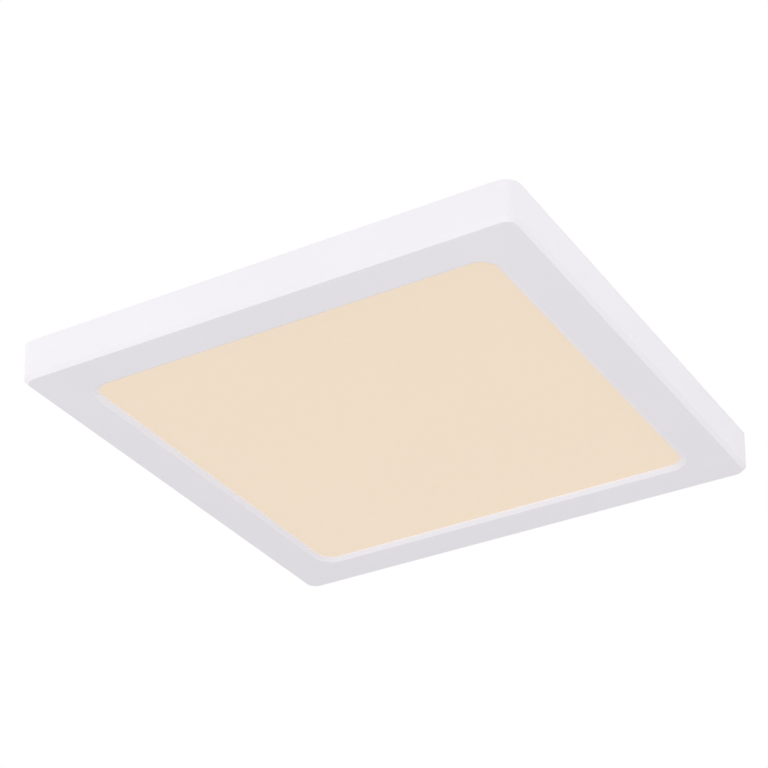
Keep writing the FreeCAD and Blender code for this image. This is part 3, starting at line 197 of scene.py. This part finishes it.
class Finish:
    """A node material under construction: a Principled shader and a few ways to vary it."""

    def __init__(self, name, color, roughness, metallic=0.0, specular=0.5):
        self.material = bpy.data.materials.new(name)
        self.material.use_nodes = True
        self.nodes = self.material.node_tree.nodes
        self.links = self.material.node_tree.links
        self.shader = self.nodes["Principled BSDF"]
        self.color = color
        self.roughness = roughness
        self.set("Base Color", (*color, 1))
        self.set("Roughness", roughness)
        self.set("Metallic", metallic)
        self.set("Specular IOR Level", specular)
        self.where = self.nodes.new("ShaderNodeTexCoord").outputs["Object"]
        self.height = None

    def set(self, socket, value):
        """A value that is the same all over, on the shader's own socket."""
        self.shader.inputs[socket].default_value = value

    def stretched(self, scale):
        """The object's own coordinates, scaled by axis."""
        mapping = self.nodes.new("ShaderNodeMapping")
        mapping.inputs["Scale"].default_value = scale
        self.links.new(self.where, mapping.inputs["Vector"])
        return mapping.outputs["Vector"]

    def noise(self, size, detail=3.0, rough=0.5, stretch=None):
        """A noise whose largest features are about size metres."""
        texture = self.nodes.new("ShaderNodeTexNoise")
        texture.inputs["Scale"].default_value = 1 / size
        texture.inputs["Detail"].default_value = detail
        texture.inputs["Roughness"].default_value = rough
        where = self.stretched(stretch) if stretch else self.where
        self.links.new(where, texture.inputs["Vector"])
        return texture.outputs["Fac"]

    def cells(self, size, output, randomness=1.0):
        """One output of a texture of cells about size metres across, in rows at randomness 0."""
        texture = self.nodes.new("ShaderNodeTexVoronoi")
        texture.inputs["Scale"].default_value = 1 / size
        texture.inputs["Randomness"].default_value = randomness
        self.links.new(self.where, texture.inputs["Vector"])
        return texture.outputs[output]

    def spangle(self, size):
        """A random value in the colour span for each cell, about size metres across."""
        split = self.nodes.new("ShaderNodeSeparateColor")
        self.links.new(self.cells(size, "Color"), split.inputs["Color"])
        return self.mapped(split.outputs["Red"], (0, 1), COLOR_SPAN)

    def mapped(self, factor, before, after):
        """The factor, with one span stretched to another."""
        spread = self.nodes.new("ShaderNodeMapRange")
        ends = ("From Min", "From Max", "To Min", "To Max")
        for socket, value in zip(ends, (*before, *after)):
            spread.inputs[socket].default_value = value
        self.links.new(factor, spread.inputs["Value"])
        return spread.outputs["Result"]

    def ramp_color(self, factor, low, high):
        """Base colour that runs between two stops of the factor, each a place and a colour."""
        ramp = self.nodes.new("ShaderNodeValToRGB")
        for element, (place, color) in zip(ramp.color_ramp.elements, (low, high)):
            element.position = place
            element.color = (*color, 1)
        self.links.new(factor, ramp.inputs["Fac"])
        self.links.new(ramp.outputs["Color"], self.shader.inputs["Base Color"])

    def vary_color(self, factor, dark, light):
        """Base colour between two shares of the finish's own."""
        colors = (shade(self.color, dark), shade(self.color, light))
        self.ramp_color(factor, *zip(COLOR_SPAN, colors))

    def vary_roughness(self, factor, less, more):
        """Roughness from so much less to so much more than the finish's own."""
        after = (self.roughness - less, self.roughness + more)
        self.links.new(self.mapped(factor, NOISE_SPAN, after), self.shader.inputs["Roughness"])

    def bump(self, factor, depth, strength=1.0):
        """Add the factor as height, depth metres from black to white."""
        node = self.nodes.new("ShaderNodeBump")
        node.inputs["Strength"].default_value = strength
        node.inputs["Distance"].default_value = depth
        self.links.new(factor, node.inputs["Height"])
        if self.height:
            self.links.new(self.height, node.inputs["Normal"])
        self.height = node.outputs["Normal"]
        self.links.new(self.height, self.shader.inputs["Normal"])


def shade(color, share):
    """The colour times a share, with no channel over 1."""
    return tuple(min(1.0, channel * share) for channel in color)


FRAME_WHITE = (0.905, 0.880, 0.925)


def frame_white():
    """Satin white moulding: eggshell grain, a slow ripple and faint changes of gloss."""
    made = Finish("frame_white", FRAME_WHITE, 0.42, specular=0.45)
    made.vary_color(made.noise(55 * MM), dark=0.992, light=1.006)
    made.vary_roughness(made.noise(12 * MM, detail=4), less=0.04, more=0.08)
    made.bump(made.noise(26 * MM, detail=2), depth=0.05 * MM, strength=0.35)
    made.bump(made.noise(0.55 * MM, rough=0.6), depth=0.010 * MM, strength=0.8)
    return made.material


LENS_COLOR = (0.25, 0.20, 0.15)
LENS_GLOW = (1.0, 0.843, 0.667)
LENS_LEVEL = 0.627


def opal_diffuser():
    """Opal acrylic lit from behind: an even warm glow and a fine matt grain."""
    made = Finish("opal_diffuser", LENS_COLOR, 0.5, specular=0.35)
    made.set("Emission Color", (*LENS_GLOW, 1))
    made.set("Emission Strength", LENS_LEVEL)
    made.vary_color(made.noise(70 * MM, detail=2), dark=0.99, light=1.01)
    made.vary_roughness(made.noise(5 * MM), less=0.04, more=0.06)
    made.bump(made.noise(0.4 * MM, detail=2), depth=0.008 * MM, strength=0.7)
    return made.material


def clear_acrylic():
    """Clear acrylic, with a faint regular grid of dots in its surface."""
    made = Finish("clear_acrylic", (0.93, 0.97, 0.96), 0.08)
    made.set("Transmission Weight", 0.85)
    made.set("IOR", 1.49)
    made.vary_roughness(made.noise(2 * MM, detail=2), less=0.03, more=0.08)
    made.bump(made.cells(2 * MM, "Distance", randomness=0.0), depth=0.02 * MM, strength=0.5)
    return made.material


def moulded(name, color, roughness, grain=0.35 * MM, depth=0.012 * MM):
    """Moulded plastic: a fine tool grain, faint flow marks in colour and uneven gloss."""
    made = Finish(name, color, roughness)
    made.vary_color(made.noise(30 * MM, detail=4), dark=0.985, light=1.01)
    made.vary_roughness(made.noise(8 * MM), less=0.05, more=0.06)
    made.bump(made.noise(grain, detail=2), depth)
    return made.material


ALONG_X = (0.03, 1, 1)


def plated_sheet(name, color, roughness):
    """Plated sheet or strip: fine rolling lines along X, a faint spangle and slight dulling."""
    made = Finish(name, color, roughness, metallic=0.9)
    made.vary_color(made.spangle(3.5 * MM), dark=0.965, light=1.03)
    made.vary_roughness(made.noise(9 * MM, detail=4), less=0.04, more=0.07)
    lines = made.noise(0.5 * MM, rough=0.6, stretch=ALONG_X)
    made.bump(lines, depth=0.005 * MM, strength=0.5)
    made.bump(made.noise(60 * MM, detail=2), depth=0.10 * MM, strength=0.3)
    return made.material


def turned_metal(name, color, roughness):
    """Bright metal of small parts, a little uneven in colour and gloss."""
    made = Finish(name, color, roughness, metallic=1.0)
    made.vary_color(made.noise(2 * MM), dark=0.93, light=1.05)
    made.vary_roughness(made.noise(1 * MM), less=0.06, more=0.1)
    made.bump(made.noise(0.25 * MM, detail=2), depth=0.004 * MM)
    return made.material


def foam():
    """Black foam with pits at its pores, its colour painted darker in the pits as shade and
    lighter on the rims between them.
    """
    made = Finish("foam", (0.045, 0.045, 0.048), 0.95, specular=0.2)
    pore_depth_and_shade = made.cells(0.7 * MM, "Distance")
    # Painted shade: the colour follows the pores' depth, darkest in the pits and lightest on the
    # rims.
    made.vary_color(pore_depth_and_shade, dark=0.6, light=1.5)
    made.bump(pore_depth_and_shade, depth=0.15 * MM, strength=0.8)
    return made.material


def rubber():
    """Dull black rubber."""
    made = Finish("black_rubber", (0.022, 0.022, 0.024), 0.7, specular=0.3)
    made.vary_color(made.noise(5 * MM, detail=4), dark=0.75, light=1.35)
    made.vary_roughness(made.noise(2 * MM), less=0.1, more=0.1)
    made.bump(made.noise(0.3 * MM), depth=0.01 * MM)
    return made.material


# The wave texture's size, and where between its low and high the two colours meet
STRIPE_SIZE = 6.5 * MM
STRIPE_EDGE = (0.46, 0.54)


def insulation(name, color, stripe):
    """The skin of a lead: a soft, uneven gloss, and bands of a second colour if given."""
    made = Finish(name, color, 0.38)
    if stripe:
        bands = made.nodes.new("ShaderNodeTexWave")
        bands.bands_direction = "Z"
        bands.inputs["Scale"].default_value = 1 / STRIPE_SIZE
        bands.inputs["Distortion"].default_value = 0.0
        made.links.new(made.where, bands.inputs["Vector"])
        made.ramp_color(bands.outputs["Fac"], *zip(STRIPE_EDGE, (color, stripe)))
    else:
        made.vary_color(made.noise(6 * MM), dark=0.9, light=1.1)
    made.vary_roughness(made.noise(1.5 * MM), less=0.06, more=0.10)
    made.bump(made.noise(0.4 * MM, detail=2), depth=0.006 * MM)
    return made.material


# ---------------------------------------------------------------- what each node is made of

def each(prefix, names):
    """The nodes that share the start of their names."""
    return tuple(prefix + name for name in names)


CASE_PARTS = ("driver_case", "driver_lid", "board_connector", "lead_clip")
SPRINGS = each("spring_clip_", ("left", "right")) + each("clamp_spring_", WAYS)
SCREWS = ("rear_cover_screws", "terminal_screw", "earth_screw")

# In the next three tables: name, colour, roughness and nodes
PLASTICS = (
    ("case_white", (0.82, 0.82, 0.80), 0.48, CASE_PARTS),
    ("nylon", (0.78, 0.78, 0.75), 0.40, ("terminal_body", "driver_terminals")),
    ("orange_nylon", (0.80, 0.20, 0.02), 0.38, each("button_", WAYS)),
    ("white_mask", (0.80, 0.82, 0.81), 0.30, each("led_board_", SIDES)),
    ("phosphor", (0.85, 0.62, 0.12), 0.40, each("leds_", SIDES)),
    ("reflector_film", (0.90, 0.90, 0.90), 0.30, ("reflector_sheet",)),
    ("flex_film", (0.55, 0.28, 0.05), 0.30, ("board_jumpers",)),
    ("green_mask", (0.015, 0.13, 0.05), 0.30, ("driver_board",)),
    ("winding_tape", (0.70, 0.45, 0.05), 0.35, ("transformer_bobbin",)),
    ("capacitor_sleeve", (0.02, 0.03, 0.09), 0.30, ("electrolytic_capacitors",)),
    ("film_box", (0.62, 0.10, 0.03), 0.35, ("film_capacitor",)),
    ("black_epoxy", (0.02, 0.02, 0.022), 0.50, ("bridge_rectifier", "driver_chip")),
)
SHEETS = (
    ("zinc_sheet", (0.60, 0.61, 0.63), 0.38, ("rear_cover", "mounting_plate")),
    ("spring_strip", (0.50, 0.50, 0.52), 0.25, SPRINGS),
)
TURNED = (
    ("bright_zinc", (0.66, 0.66, 0.68), 0.25, SCREWS),
    ("rivet_alloy", (0.72, 0.72, 0.73), 0.35, ("driver_rivets", "clip_rivets")),
    ("brass", (0.72, 0.55, 0.26), 0.25, ("terminal_contacts", "earth_tag", "fuse")),
)
# name, colour, roughness, and the size and depth of its coarser grain
FERRITE = ("ferrite", (0.035, 0.035, 0.038), 0.62, 0.6 * MM, 0.03 * MM)
# name, colour, stripe and node
SKINS = (
    ("brown_skin", (0.09, 0.035, 0.012), None, "lead_line"),
    ("blue_skin", (0.012, 0.07, 0.32), None, "lead_neutral"),
    ("green_skin", (0.02, 0.24, 0.04), (0.80, 0.66, 0.03), "lead_earth"),
    ("red_skin", (0.45, 0.012, 0.010), None, "lead_led_positive"),
    ("black_skin", (0.012, 0.012, 0.014), None, "lead_led_negative"),
)


def paint(material, *names):
    """Give CAD nodes the material."""
    for name in names:
        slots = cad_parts[name].data.materials
        slots.clear()
        slots.append(material)


def paint_nodes():
    """Give every CAD node its material."""
    paint(frame_white(), "frame")
    paint(opal_diffuser(), "diffuser")
    paint(clear_acrylic(), "light_guide")
    paint(foam(), "foam_pad")
    paint(rubber(), "cable_grommet", "lead_grommet")
    paint(moulded(*FERRITE), "transformer_core", "choke")
    for make, rows in ((moulded, PLASTICS), (plated_sheet, SHEETS), (turned_metal, TURNED)):
        for name, color, roughness, nodes in rows:
            paint(make(name, color, roughness), *nodes)
    for name, color, stripe, node in SKINS:
        paint(insulation(name, color, stripe), node)


def make_clamp_springs():
    """The leaves under the buttons, as objects of their own on the luminaire's body in place of
    their CAD nodes.
    """
    for way in WAYS:
        node = "clamp_spring_" + way
        leaf = put("clamp_leaf_" + way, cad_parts[node].data.copy())
        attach(leaf, "luminaire")
        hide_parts(node)
        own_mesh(leaf)


bpy.context.scene.view_settings.view_transform = "Standard"
make_camera()
make_world()
make_floor()
make_lamps()
paint_nodes()
make_clamp_springs()
